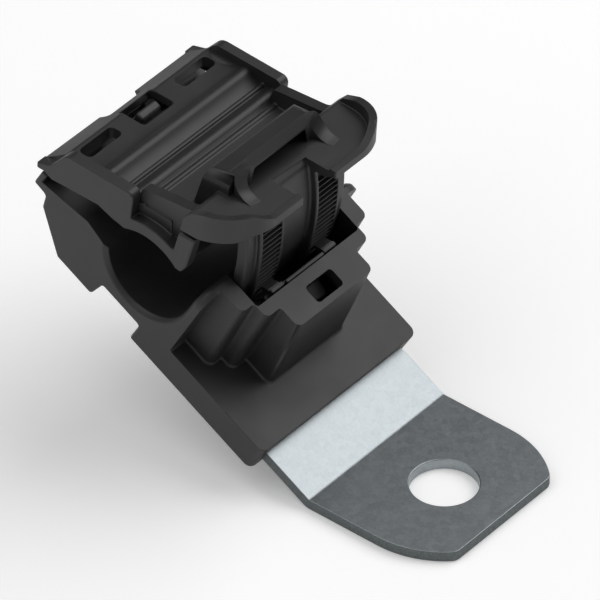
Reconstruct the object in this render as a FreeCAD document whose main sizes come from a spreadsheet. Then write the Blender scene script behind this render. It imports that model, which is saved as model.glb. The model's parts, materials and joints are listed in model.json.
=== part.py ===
"""Ratchet P clamp: a bent steel fixing plate in a moulded base, with a hinged ratchet jaw.

Frame: millimetres, +Z up, origin at the centre of the bolt hole on the plate's
mounting face. X runs across the plate, Y from the hole towards the clamp.
"""
import FreeCAD, Part
import math
import os
import Sketcher
from FreeCAD import Placement, Rotation, Vector

# Driving dimensions: alias, value, meaning. Lengths in millimetres, angles in degrees.
DRIVING = [
    ("plate_thickness", 1.5, "steel strip"),
    ("plate_width", 25.4, "steel strip"),
    ("hole_diameter", 8.5, "clearance hole for an M8 bolt"),
    ("plate_nose", 9.1, "hole centre to the straight front end"),
    ("nose_corner", 1.5, "rounding where the straight end meets the round one"),
    ("bend_reach", 10.5, "hole centre to the bend line on the upper face"),
    ("bend_radius", 1.0, "inside radius of the bend"),
    ("lean", 30.0, "angle of the raised part of the plate"),
    ("plate_insert", 27.4, "bend line to the plate's end inside the sleeve"),
    ("sleeve_side", 1.8, "wall beside the plate"),
    ("sleeve_front", 7.45, "bend line to the sleeve's mouth"),
    ("sleeve_floor", 0.97, "wall under the plate"),
    ("sleeve_roof", 1.9, "wall over the plate"),
    ("sleeve_corner", 1.1, "front corners of the sleeve"),
    ("plate_clearance", 0.05, "round the plate in its sleeve"),
    ("plate_stop", 1.45, "wall behind the plate's end"),
    ("channel_length", 6.5, "transverse channel under the cradle"),
    ("channel_roof", 0.5, "underside of the cradle over the channel"),
    ("foot_drop", 2.4, "underside of the rear foot"),
    ("heel_inset", 2.2, "heel of the cradle ahead of the hinge axis"),
    ("heel_rise", 2.25, "heel of the cradle"),
    ("heel_slope", 5.2, "sloping rear of the foot"),
    ("bore_reach", 32.07, "bend line to the cradle's axis"),
    ("bore_rise", 9.06, "height of the cradle's axis"),
    ("bore_radius", 6.41, "round seat of the cradle"),
    ("bore_rim", 0.5, "bevel of the seat's two ends"),
    ("cradle_shelf", 6.3, "upper edge of the cradle behind the seat"),
    ("block_top", 13.95, "top of the ratchet block"),
    ("shoulder_wall", 1.36, "wall in front of the seat"),
    ("bore_wall_drop", 1.05, "lower middle of that wall behind the tongue"),
    ("shoulder_round", 2.6, "outer top corners of the shoulder"),
    ("step_one_inset", 7.5, "front step, from the moulding's side"),
    ("step_two_inset", 4.95, "second step, from the moulding's side"),
    ("step_three_inset", 2.75, "third step, from the moulding's side"),
    ("step_one_front", 13.5, "front step at its foot"),
    ("step_two_front", 17.75, "second step at its foot"),
    ("step_three_front", 19.7, "third step at its foot"),
    ("front_draft", 1.7, "how far the front step leans back up to the top"),
    ("step_round", 0.9, "outer corners of the steps"),
    ("step_cusp", 0.45, "inner corners between the steps"),
    ("step_foot", 0.35, "hollow rounding along the foot of the block"),
    ("window_half", 2.4, "release window in the block's top"),
    ("window_gap", 1.6, "release window ahead of the pawl's slit"),
    ("window_length", 2.55, "release window in the block's top"),
    ("window_corner", 0.55, "corners of the release window"),
    ("block_wall", 1.5, "walls round the space in front of the pawl"),
    ("pawl_room", 6.0, "height of the space in front of the pawl"),
    ("room_side", 2.0, "space beside the window"),
    ("pawl_half", 6.6, "half width of the pawl"),
    ("pawl_thickness", 0.85, "springy blade of the pawl"),
    ("pawl_slit", 0.3, "slit between the pawl and the block"),
    ("pawl_drop", 1.65, "top of the pawl's blade under the block's top"),
    ("tip_drop", 0.9, "top of the pawl's two teeth under the block's top"),
    ("tip_height", 1.15, "height of the pawl's two teeth"),
    ("tip_side", 1.0, "pawl's teeth beside the smooth middle of the tongue"),
    ("tip_width", 2.0, "width of each of the pawl's teeth"),
    ("pawl_gap", 1.15, "pawl's blade to the crests of the tongue"),
    ("pawl_clearance", 0.1, "pawl's teeth to the crests of the tongue"),
    ("tab_half", 1.85, "half width of the release tab"),
    ("tab_reach", 3.5, "release tab ahead of the pawl"),
    ("hinge_reach", 49.3, "bend line to the hinge axis"),
    ("hinge_rise", 6.6, "height of the hinge axis"),
    ("hinge_radius", 0.9, "round bar that the jaw snaps onto"),
    ("hinge_clearance", 0.05, "running fit of the hooks on the bar"),
    ("bar_overlap", 0.7, "bar past the outer end of each hook"),
    ("bar_start", 2.4, "bar ahead of the inner end of each hook"),
    ("lip_half", 0.45, "half thickness of the wall that carries the bar"),
    ("lip_foot", 4.35, "ledge that the lip stands on"),
    ("lug_half", 1.8, "half width of the centring lug"),
    ("lug_ahead", 2.75, "front face of the centring lug ahead of the hinge axis"),
    ("lug_length", 1.25, "centring lug from front to rear"),
    ("lug_top", 11.67, "top of the centring lug"),
    ("jaw_open", 26.5, "opening of the jaw in the pose that is modelled"),
    ("jaw_wall", 1.5, "top plate and side walls of the jaw"),
    ("jaw_deck", 3.9, "top of the jaw's flat deck over the hinge axis"),
    ("deck_rear", 2.3, "rear end of the flat deck"),
    ("rear_lip", 0.85, "jaw edge behind the hinge axis"),
    ("border_top", 5.2, "raised side borders of the jaw"),
    ("border_back", 1.77, "front end of the side borders behind the seat axis"),
    ("border_round", 0.9, "front corners of the side borders"),
    ("border_rear", 1.1, "rear end of the side borders ahead of the flat deck's end"),
    ("border_rear_round", 1.8, "rear corners of the side borders"),
    ("ridge_back", 7.87, "start of the ridges behind the seat axis"),
    ("tongue_gap", 1.86, "inner face of the tongue ahead of the cradle's seat"),
    ("saddle_back", 9.93, "jaw's seat axis behind the inner face of the tongue"),
    ("saddle_drop", 7.1, "jaw's seat axis under the hinge axis"),
    ("saddle_radius", 6.94, "round seat of the jaw"),
    ("saddle_wall", 1.7, "wall over the jaw's seat"),
    ("saddle_rear_turn", 114.8, "rear end of the seat, angle from straight ahead"),
    ("saddle_front_turn", 43.6, "front end of the seat, angle from straight ahead"),
    ("wing_overhang", 4.8, "front edge of the wings ahead of the tongue's inner face"),
    ("wing_length", 8.0, "wings from front to rear"),
    ("wing_round", 6.1, "round front corners of the wings"),
    ("wing_bottom", 4.0, "lowest edge of the wings' skirt"),
    ("skirt_rise", 2.15, "front of the skirt over its lowest edge"),
    ("wing_floor", 6.95, "floor of the wings"),
    ("wing_floor_wall", 1.4, "thickness of that floor"),
    ("wing_rim", 1.0, "rim round the wings"),
    ("wing_rim_top", 9.05, "highest part of the rim"),
    ("ledge_top", 7.3, "low middle part of the rim"),
    ("ledge_inset", 6.3, "low middle part of the rim, from the jaw's side"),
    ("web_inset", 1.7, "side webs from the jaw's side"),
    ("web_wall", 1.4, "side webs"),
    ("bridge_inset", 5.9, "bridge behind the rim loop, from the jaw's side"),
    ("bridge_back", 5.8, "rear crest of the bridge behind the tongue's inner face"),
    ("bridge_rear_top", 8.8, "rear crest of the bridge"),
    ("bridge_front_top", 9.3, "front of the bridge"),
    ("bridge_wall", 1.3, "walls of the bridge"),
    ("bridge_round", 1.6, "rounded ends of the bridge"),
    ("loop_back", 2.2, "rear face of the rim loop behind the tongue's inner face"),
    ("loop_wall", 1.4, "wall of the rim loop"),
    ("loop_inset", 8.0, "corners of the rim loop, from the jaw's side"),
    ("loop_top", 10.75, "top of the rim loop"),
    ("loop_flare", 1.0, "how far the toes of the loop spread"),
    ("loop_reach", 4.1, "toes of the loop ahead of its rear face"),
    ("groove_half", 2.95, "half width of the smooth middle of the tongue"),
    ("groove_depth", 0.3, "smooth middle under the tongue's plain strip"),
    ("tongue_inset", 5.3, "side of the tongue, from the jaw's side"),
    ("tongue_wall", 1.6, "plain strip of the tongue"),
    ("tooth_depth", 0.65, "depth of a ratchet tooth"),
    ("tooth_width", 3.55, "length of a ratchet tooth across the tongue"),
    ("tooth_rail", 0.45, "smooth rail at both ends of the teeth"),
    ("tooth_pitch", 1.65, "angle from tooth to tooth"),
    ("tooth_count", 17, "teeth in each column"),
    ("tongue_end", 20.5, "lower end of the tongue below straight ahead"),
    ("slot_clearance", 0.25, "round the tongue in the block"),
    ("slot_floor", 1.0, "bottom of the tongue's slot"),
    ("hook_wall", 0.95, "wall of the snap hooks"),
    ("hook_inset", 2.9, "outer end of each hook, from the jaw's side"),
    ("hook_length", 5.8, "length of each hook"),
    ("hook_front_turn", -66.0, "front tip of the hooks, angle from straight ahead"),
    ("hook_rear_turn", 100.0, "rear tip of the hooks, angle from straight ahead"),
    ("hook_room", 0.25, "space round the hooks in the base"),
    ("slot_front", 4.9, "openings in the deck over the hooks"),
    ("slot_length", 2.0, "openings in the deck over the hooks"),
    ("slot_corner", 0.7, "corners of those openings"),
    ("slot_side", 0.15, "those openings past both ends of the hooks"),
    ("lug_window_side", 1.0, "opening in the deck beside the lug"),
    ("lug_window_rear", 1.75, "opening in the deck for the lug"),
    ("lug_window_front", 5.6, "opening in the deck for the lug"),
    ("notch_half", 3.1, "notch in the jaw's rear edge"),
    ("notch_front", 0.4, "notch in the jaw's rear edge"),
]

LEFT = "left"
RIGHT = "right"


class Size:
    """A length or angle that knows its value and the sheet formula behind it."""

    def __init__(self, value, formula):
        self.value = float(value)
        self.formula = formula

    @staticmethod
    def of(thing):
        """Wrap a plain number, and leave a Size as it is."""
        if isinstance(thing, Size):
            return thing
        return Size(thing, f"({float(thing)!r})")

    def __add__(self, other):
        other = Size.of(other)
        return Size(self.value + other.value, f"({self.formula} + {other.formula})")

    def __sub__(self, other):
        other = Size.of(other)
        return Size(self.value - other.value, f"({self.formula} - {other.formula})")

    def __mul__(self, other):
        other = Size.of(other)
        return Size(self.value * other.value, f"({self.formula} * {other.formula})")

    def __truediv__(self, other):
        other = Size.of(other)
        return Size(self.value / other.value, f"({self.formula} / {other.formula})")

    def __radd__(self, other):
        return Size.of(other) + self

    def __rsub__(self, other):
        return Size.of(other) - self

    def __rmul__(self, other):
        return Size.of(other) * self

    def __neg__(self):
        return Size(-self.value, f"(0 - {self.formula})")


def root(size):
    """Square root of a size."""
    return Size(math.sqrt(size.value), f"sqrt({size.formula})")


def cosine(angle):
    """Cosine of an angle in degrees."""
    angle = Size.of(angle)
    return Size(math.cos(math.radians(angle.value)), f"cos({angle.formula})")


def sine(angle):
    """Sine of an angle in degrees."""
    angle = Size.of(angle)
    return Size(math.sin(math.radians(angle.value)), f"sin({angle.formula})")


def polar(centre, radius, turn):
    """Point at a radius and an angle from a centre, as an (across, up) pair."""
    return centre[0] + radius * cosine(turn), centre[1] + radius * sine(turn)


class Sizes:
    """Attribute access to the driving dimensions, each as a Size."""


document = FreeCAD.newDocument("RatchetClamp")
sheet = document.addObject("Spreadsheet::Sheet", "Sizes")
d = Sizes()
for row, (alias, value, meaning) in enumerate(DRIVING, start=1):
    sheet.set(f"A{row}", meaning)
    sheet.set(f"B{row}", str(value))
    sheet.setAlias(f"B{row}", alias)
    setattr(d, alias, Size(value, f"Sizes.{alias}"))
document.recompute()


BODY_WIDTH = d.plate_width + d.sleeve_side * 2
HALF = BODY_WIDTH / 2
BORE_FRONT = d.bore_reach - d.bore_radius
TONGUE_INNER = d.hinge_reach - BORE_FRONT + d.tongue_gap
TONGUE_PLAIN = TONGUE_INNER + d.tongue_wall
TOOTH_CREST = TONGUE_PLAIN + d.tooth_depth
TONGUE_HALF = HALF - d.tongue_inset
HOOK_OUTER = HALF - d.hook_inset
HOOK_INNER = HOOK_OUTER - d.hook_length


def bind(target, path, size):
    """Bind a property or a constraint to its sheet formula."""
    target.setExpression(path, Size.of(size).formula)


def new_body(name, title):
    """Make an empty body with its own label."""
    body = document.addObject("PartDesign::Body", name)
    body.Label = title
    return body


def origin_plane(body, role):
    """Find one of the body's own origin planes."""
    return next(item for item in body.Origin.OriginFeatures if item.Role == role)


def facing(corners):
    """Turn an outline given ahead of the hinge into one on the rearward axis."""
    swap = {LEFT: RIGHT, RIGHT: LEFT}
    turned = []
    for corner in corners:
        point = (-Size.of(corner[0]), corner[1])
        turned.append(point + (corner[2], swap[corner[3]]) if len(corner) > 2 else point)
    return turned


def both_sides(half):
    """Complete a plan outline, whose half runs from the middle line round to it again."""
    swap = [(-Size.of(corner[0]), corner[1]) for corner in reversed(half)]
    for place, corner in enumerate(half):
        if len(corner) > 2:
            partner = len(half) - 2 - place
            swap[partner] = swap[partner] + (corner[2], corner[3])
    return list(half) + swap


def outline(body, name, plane, corners, shift=0):
    """Draw a closed outline, bound to the sheet, on one of the body's planes.

    A corner is (across, up), or (across, up, radius, turn) where the stretch to
    the next corner is an arc that turns left or right.
    """
    sketch = body.newObject("Sketcher::SketchObject", name)
    sketch.AttachmentSupport = [(origin_plane(body, plane), "")]
    sketch.MapMode = "FlatFace"
    shift = Size.of(shift)
    sketch.AttachmentOffset = Placement(Vector(0, 0, shift.value), Rotation())
    bind(sketch, "AttachmentOffset.Base.z", shift)
    corners = [(Size.of(c[0]), Size.of(c[1])) + tuple(c[2:]) for c in corners]
    ends = []
    for place, corner in enumerate(corners):
        following = corners[(place + 1) % len(corners)]
        start = Vector(corner[0].value, corner[1].value, 0)
        stop = Vector(following[0].value, following[1].value, 0)
        if len(corner) == 2:
            sketch.addGeometry(Part.LineSegment(start, stop))
            ends.append((1, 2))
            continue
        radius = corner[2].value
        chord = stop - start
        side = Vector(-chord.y, chord.x, 0).normalize()
        reach = math.sqrt(max(radius ** 2 - chord.Length ** 2 / 4, 0))
        sense = 1 if corner[3] == LEFT else -1
        centre = (start + stop) * 0.5 + side * reach * sense
        first, last = (start, stop) if corner[3] == LEFT else (stop, start)
        begin = math.atan2(first.y - centre.y, first.x - centre.x)
        finish = math.atan2(last.y - centre.y, last.x - centre.x)
        if finish < begin:
            finish += 2 * math.pi
        circle = Part.Circle(centre, Vector(0, 0, 1), radius)
        sketch.addGeometry(Part.ArcOfCircle(circle, begin, finish))
        ends.append((1, 2) if corner[3] == LEFT else (2, 1))
    for place in range(len(corners)):
        after = (place + 1) % len(corners)
        joint = Sketcher.Constraint("Coincident", place, ends[place][1], after, ends[after][0])
        sketch.addConstraint(joint)
    for place, corner in enumerate(corners):
        for kind, size in zip(("DistanceX", "DistanceY"), corner[:2]):
            rule = Sketcher.Constraint(kind, -1, 1, place, ends[place][0], size.value)
            index = sketch.addConstraint(rule)
            bind(sketch, f"Constraints[{index}]", size)
        if len(corner) > 2:
            rule = Sketcher.Constraint("Radius", place, corner[2].value)
            index = sketch.addConstraint(rule)
            bind(sketch, f"Constraints[{index}]", corner[2])
    return sketch


def settle(body, feature, grows):
    """Recompute, and stop if a feature failed or did not change the volume its way."""
    before = body.Tip.Shape.Volume if body.Tip and not body.Tip.Shape.isNull() else 0.0
    body.Tip = feature
    document.recompute()
    if "Invalid" in feature.State or "Error" in feature.State or feature.Shape.isNull():
        raise RuntimeError(f"{feature.Name} failed: {feature.State}")
    change = feature.Shape.Volume - before
    if (change <= 1e-6) if grows else (change >= -1e-6):
        raise RuntimeError(f"{feature.Name} changed the volume by {change:.4f}")
    return feature


def pad(body, name, sketch, length, symmetric=True, backwards=False):
    """Extrude a sketch into material."""
    before = body.Tip
    feature = body.newObject("PartDesign::Pad", name)
    body.Tip = before
    feature.Profile = sketch
    feature.SideType = "Symmetric" if symmetric else "One side"
    feature.Reversed = backwards
    bind(feature, "Length", length)
    return settle(body, feature, grows=True)


def pocket(body, name, sketch, length, symmetric=True, backwards=False):
    """Cut a sketch out of the material."""
    before = body.Tip
    feature = body.newObject("PartDesign::Pocket", name)
    body.Tip = before
    feature.Profile = sketch
    feature.SideType = "Symmetric" if symmetric else "One side"
    feature.Reversed = backwards
    bind(feature, "Length", length)
    return settle(body, feature, grows=False)


def mirror_across(body, name, features, grows=True):
    """Repeat features on the other side of the middle plane."""
    before = body.Tip
    feature = body.newObject("PartDesign::Mirrored", name)
    body.Tip = before
    feature.Originals = features
    feature.MirrorPlane = (origin_plane(body, "YZ_Plane"), [""])
    return settle(body, feature, grows)


def round_edges(body, name, radius, wanted, kind="Fillet", size_name="Radius"):
    """Fillet the edges of the present shape whose middle point is wanted, or chamfer them."""
    base = body.Tip
    names = []
    for number, edge in enumerate(base.Shape.Edges, start=1):
        middle = edge.valueAt((edge.FirstParameter + edge.LastParameter) / 2)
        if wanted(edge, middle):
            names.append(f"Edge{number}")
    feature = body.newObject(f"PartDesign::{kind}", name)
    body.Tip = base
    feature.Base = (base, names)
    bind(feature, size_name, radius)
    body.Tip = feature
    document.recompute()
    if "Invalid" in feature.State or feature.Shape.isNull() or not names:
        raise RuntimeError(f"{feature.Name} failed on {names}: {feature.State}")
    return feature


def rectangle(left, low, right, high):
    """Corners of a rectangle."""
    return [(left, low), (right, low), (right, high), (left, high)]


def rounded_rectangle(left, low, right, high, turn):
    """Corners of a rectangle with rounded corners."""
    return [
        (left + turn, low),
        (right - turn, low, turn, LEFT),
        (right, low + turn),
        (right, high - turn, turn, LEFT),
        (right - turn, high),
        (left + turn, high, turn, LEFT),
        (left, high - turn),
        (left, low + turn, turn, LEFT),
    ]


def build_plate():
    """Bent steel strip with a round end and a bolt hole."""
    body = new_body("MountingPlate", "mounting_plate")
    half = d.plate_width / 2
    tangent = d.bend_radius * sine(d.lean / 2) / cosine(d.lean / 2)
    outer = d.bend_radius + d.plate_thickness
    bend_low = d.bend_reach - tangent
    rise = (cosine(d.lean), sine(d.lean))
    top = (d.bend_reach + tangent * rise[0], d.plate_thickness + tangent * rise[1])
    end = (d.bend_reach + d.plate_insert * rise[0], d.plate_thickness + d.plate_insert * rise[1])
    under = (d.plate_thickness * rise[1], -(d.plate_thickness * rise[0]))
    side = outline(body, "StripSection", "YZ_Plane", [
        (-d.plate_nose, 0),
        (bend_low, 0, outer, LEFT),
        (top[0] + under[0], top[1] + under[1]),
        (end[0] + under[0], end[1] + under[1]),
        end,
        (top[0], top[1], d.bend_radius, RIGHT),
        (bend_low, d.plate_thickness),
        (-d.plate_nose, d.plate_thickness),
    ])
    pad(body, "Strip", side, d.plate_width)
    nose_half = root(half * half - d.plate_nose * d.plate_nose)
    beyond = half + 5
    ends = outline(body, "EndOutline", "XY_Plane", [
        (half, 0),
        (half + 1, 0),
        (half + 1, -beyond),
        (-half - 1, -beyond),
        (-half - 1, 0),
        (-half, 0, half, LEFT),
        (-nose_half, -d.plate_nose),
        (nose_half, -d.plate_nose, half, LEFT),
    ])
    pocket(body, "RoundEnd", ends, d.plate_thickness * 4)
    round_edges(
        body, "NoseCorners", d.nose_corner,
        lambda edge, middle: edge.BoundBox.XLength < 0.01 and edge.BoundBox.ZLength > 1
        and middle.y < -d.plate_nose.value + 0.01,
    )
    hole = body.newObject("Sketcher::SketchObject", "HoleCircle")
    hole.AttachmentSupport = [(origin_plane(body, "XY_Plane"), "")]
    hole.MapMode = "FlatFace"
    hole.addGeometry(Part.Circle(Vector(0, 0, 0), Vector(0, 0, 1), d.hole_diameter.value / 2))
    hole.addConstraint(Sketcher.Constraint("Coincident", 0, 3, -1, 1))
    rule = hole.addConstraint(Sketcher.Constraint("Diameter", 0, d.hole_diameter.value))
    bind(hole, f"Constraints[{rule}]", d.hole_diameter)
    pocket(body, "BoltHole", hole, d.plate_thickness * 4)
    return body


def near(one, other, slack=0.02):
    """Whether two lengths agree."""
    return abs(one - Size.of(other).value) < slack


def build_base():
    """Base moulding: sleeve, cradle, stepped ratchet block, pawl and hinge bar."""
    body = new_body("ClampBase", "clamp_base")
    hinge = (d.hinge_reach, d.hinge_rise)
    under = d.plate_thickness + d.sleeve_floor
    channel_front = d.plate_insert + d.plate_clearance + d.plate_stop
    channel_rear = channel_front + d.channel_length
    heel = d.hinge_reach - d.heel_inset
    seat_rear = polar((d.bore_reach, d.bore_rise), d.bore_radius, -28)
    lip_rear = d.hinge_reach + d.lip_half
    lip_front = d.hinge_reach - d.lip_half
    shoulder_front = BORE_FRONT - d.shoulder_wall
    side = outline(body, "SideOutline", "YZ_Plane", [
        (d.sleeve_front, -under),
        (channel_front, -under),
        (channel_front, d.channel_roof),
        (channel_rear, d.channel_roof),
        (channel_rear + 0.5, -d.foot_drop),
        (heel - d.heel_slope, -d.foot_drop),
        (heel, d.heel_rise),
        (heel + 0.55, d.lip_foot - 0.1),
        (lip_rear, d.lip_foot),
        (lip_rear, d.hinge_rise, d.lip_half, LEFT),
        (d.hinge_reach, d.hinge_rise + d.lip_half, d.lip_half, LEFT),
        (lip_front, d.hinge_rise),
        (lip_front, d.hinge_rise - 1),
        (heel - 1.6, d.cradle_shelf),
        (heel - 5.5, d.cradle_shelf + 0.8),
        (seat_rear[0] + 1.2, seat_rear[1] + 0.5),
        (seat_rear[0], seat_rear[1], d.bore_radius, RIGHT),
        (BORE_FRONT, d.bore_rise),
        (BORE_FRONT, d.block_top),
        (shoulder_front, d.block_top),
        (shoulder_front - 0.25, d.sleeve_roof),
        (d.sleeve_front, d.sleeve_roof),
    ])
    pad(body, "SideBody", side, BODY_WIDTH)
    round_edges(
        body, "ShoulderCorners", d.shoulder_round,
        lambda edge, middle: near(abs(middle.x), HALF) and near(middle.z, d.block_top),
    )
    round_edges(
        body, "SleeveCorners", d.sleeve_corner,
        lambda edge, middle: near(abs(middle.x), HALF) and near(middle.y, d.sleeve_front)
        and edge.BoundBox.ZLength > 1,
    )
    rear = BORE_FRONT - d.shoulder_wall / 2
    steps = (
        ("FrontStep", HALF - d.step_one_inset, d.step_one_front, d.front_draft),
        ("MiddleStep", HALF - d.step_two_inset, d.step_two_front, d.front_draft * 0.4),
        ("RearStep", HALF - d.step_three_inset, d.step_three_front, d.front_draft * 0.6),
    )
    for label, wide, front, back in steps:
        lean_in = back / (d.block_top - d.sleeve_roof)
        step = outline(body, label + "Side", "YZ_Plane", [
            (front - lean_in * d.sleeve_roof / 2, d.sleeve_roof / 2),
            (rear, d.sleeve_roof / 2),
            (rear, d.block_top),
            (front + back, d.block_top),
        ])
        pad(body, label, step, wide * 2)
    limit = shoulder_front.value - 1

    def upright(edge, middle, wanted_cusp):
        """Near vertical edges of the steps, outer ones or the inner cusps."""
        if edge.BoundBox.ZLength < (d.block_top - d.sleeve_roof).value * 0.7 or middle.y > limit:
            return False
        cusp = any(
            near(abs(middle.x), wide) and near(middle.y, front + back / 2, 0.3)
            for (_, wide, _, _), (_, _, front, back) in zip(steps, steps[1:])
        )
        return cusp == wanted_cusp

    round_edges(body, "StepCorners", d.step_round, lambda e, m: upright(e, m, False))
    round_edges(body, "StepCusps", d.step_cusp, lambda e, m: upright(e, m, True))
    round_edges(
        body, "BlockFoot", d.step_foot,
        lambda edge, middle: near(middle.z, d.sleeve_roof)
        and d.step_one_front.value - 0.1 < middle.y < shoulder_front.value - 0.1
        and abs(middle.x) < HALF.value - 0.1 and edge.BoundBox.ZLength < 0.01,
    )
    round_edges(
        body, "SeatRims", d.bore_rim,
        lambda edge, middle: near(abs(middle.x), HALF) and near(
            math.hypot(middle.y - d.bore_reach.value, middle.z - d.bore_rise.value),
            d.bore_radius),
        kind="Chamfer", size_name="Size",
    )

    mouth = outline(body, "PlateSlot", "YZ_Plane", rectangle(
        d.sleeve_front - 1, -d.plate_thickness - d.plate_clearance,
        d.plate_insert + d.plate_clearance, d.plate_clearance,
    ))
    pocket(body, "Sleeve", mouth, d.plate_width + d.plate_clearance * 2)

    inner = TONGUE_INNER - d.slot_clearance
    pawl_inner = TOOTH_CREST + d.pawl_gap
    pawl_outer = pawl_inner + d.pawl_thickness
    outer = pawl_outer + d.pawl_slit
    above = d.block_top + 1
    slot_width = (TONGUE_HALF + d.slot_clearance) * 2

    def ahead(radius, level):
        """Reach of an arc about the hinge at a level."""
        return hinge[0] - root(radius * radius - (level - hinge[1]) * (level - hinge[1]))

    slot = outline(body, "TongueSlot", "YZ_Plane", [
        (ahead(outer, above), above, outer, LEFT),
        (ahead(outer, d.slot_floor), d.slot_floor),
        (ahead(inner, d.slot_floor), d.slot_floor, inner, RIGHT),
        (ahead(inner, above), above),
    ])
    pocket(body, "Slot", slot, slot_width)
    low_wall = outline(body, "LowWall", "YZ_Plane", rectangle(
        shoulder_front - 1, d.block_top - d.bore_wall_drop, BORE_FRONT + 1, above,
    ))
    pocket(body, "LowerWall", low_wall, slot_width)

    room_top = d.block_top - d.block_wall
    window_rear = ahead(outer, d.block_top) - d.window_gap
    window_front = window_rear - d.window_length
    room = outline(body, "PawlRoom", "YZ_Plane", rectangle(
        window_front + 0.2, room_top - d.pawl_room, ahead(outer, room_top) + 0.6, room_top,
    ))
    pocket(body, "RoomBeforePawl", room, (d.window_half + d.room_side) * 2)
    window = outline(body, "Window", "XY_Plane", rounded_rectangle(
        -d.window_half, window_front, d.window_half, window_rear, d.window_corner,
    ), shift=above)
    pocket(body, "ReleaseWindow", window, d.block_wall + 1.5, symmetric=False)

    blade_foot = d.slot_floor - 0.5
    blade_top = d.block_top - d.pawl_drop
    blade = outline(body, "PawlBlade", "YZ_Plane", [
        (ahead(pawl_outer, blade_top), blade_top, pawl_outer, LEFT),
        (ahead(pawl_outer, blade_foot), blade_foot),
        (ahead(pawl_inner, blade_foot), blade_foot, pawl_inner, RIGHT),
        (ahead(pawl_inner, blade_top), blade_top),
    ])
    pad(body, "Pawl", blade, d.pawl_half * 2)
    crest = TOOTH_CREST + d.pawl_clearance
    tip_top = d.block_top - d.tip_drop
    tip_low = tip_top - d.tip_height
    nose = outline(body, "PawlNose", "YZ_Plane", [
        (ahead(pawl_outer, tip_top) + 0.25, tip_top),
        (ahead(pawl_outer, tip_low) + 0.25, tip_low),
        (ahead(pawl_inner, tip_low) + 0.05, tip_low),
        (ahead(crest, tip_top - 0.75), tip_top - 0.75),
        (ahead(crest, tip_top - 0.55), tip_top - 0.55),
        (ahead(pawl_inner, tip_top), tip_top),
    ], shift=d.groove_half + d.tip_side)
    tip = pad(body, "PawlTooth", nose, d.tip_width, symmetric=False)
    mirror_across(body, "PawlTeeth", [tip])
    tab_rear = ahead(pawl_outer, room_top - 1.2) + 0.3
    tab = outline(body, "ReleaseTab", "YZ_Plane", [
        (tab_rear, room_top - 0.25),
        (tab_rear - d.tab_reach, room_top - 1.5),
        (tab_rear - d.tab_reach, room_top - 2.2),
        (tab_rear, room_top - 2.6),
    ])
    pad(body, "Tab", tab, d.tab_half * 2)

    hook_reach = d.hinge_radius + d.hinge_clearance + d.hook_wall + d.hook_room
    recess = outline(body, "HookRecess", "YZ_Plane", rectangle(
        d.hinge_reach - hook_reach, d.hinge_rise - hook_reach, lip_front, d.hinge_rise + hook_reach,
    ), shift=HOOK_INNER - d.hook_room)
    room_one = pocket(
        body, "HookRoom", recess, d.hook_length + d.hook_room * 2,
        symmetric=False, backwards=True,
    )
    mirror_across(body, "HookRooms", [room_one], grows=False)
    bar_start = HOOK_INNER - d.bar_start
    bar = body.newObject("Sketcher::SketchObject", "BarCircle")
    bar.AttachmentSupport = [(origin_plane(body, "YZ_Plane"), "")]
    bar.MapMode = "FlatFace"
    bar.AttachmentOffset = Placement(Vector(0, 0, bar_start.value), Rotation())
    bind(bar, "AttachmentOffset.Base.z", bar_start)
    bar.addGeometry(Part.Circle(
        Vector(hinge[0].value, hinge[1].value, 0), Vector(0, 0, 1), d.hinge_radius.value))
    for kind, size in (("DistanceX", hinge[0]), ("DistanceY", hinge[1])):
        rule = bar.addConstraint(Sketcher.Constraint(kind, -1, 1, 0, 3, size.value))
        bind(bar, f"Constraints[{rule}]", size)
    rule = bar.addConstraint(Sketcher.Constraint("Radius", 0, d.hinge_radius.value))
    bind(bar, f"Constraints[{rule}]", d.hinge_radius)
    bar_length = d.bar_start + d.hook_length + d.bar_overlap
    rod = pad(body, "HingeBar", bar, bar_length, symmetric=False)
    mirror_across(body, "HingeBars", [rod])
    lug_front = d.hinge_reach - d.lug_ahead
    lug = outline(body, "LugSide", "YZ_Plane", rectangle(
        lug_front, d.cradle_shelf - 1.6, lug_front + d.lug_length, d.lug_top,
    ))
    pad(body, "Lug", lug, d.lug_half * 2)
    body.Placement = Placement(Vector(0, 0, 0), Rotation(Vector(1, 0, 0), d.lean.value))
    bind(body, "Placement.Rotation.Angle", d.lean)
    bind(body, "Placement.Base.y", d.bend_reach)
    bind(body, "Placement.Base.z", d.plate_thickness)
    return body


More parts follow.
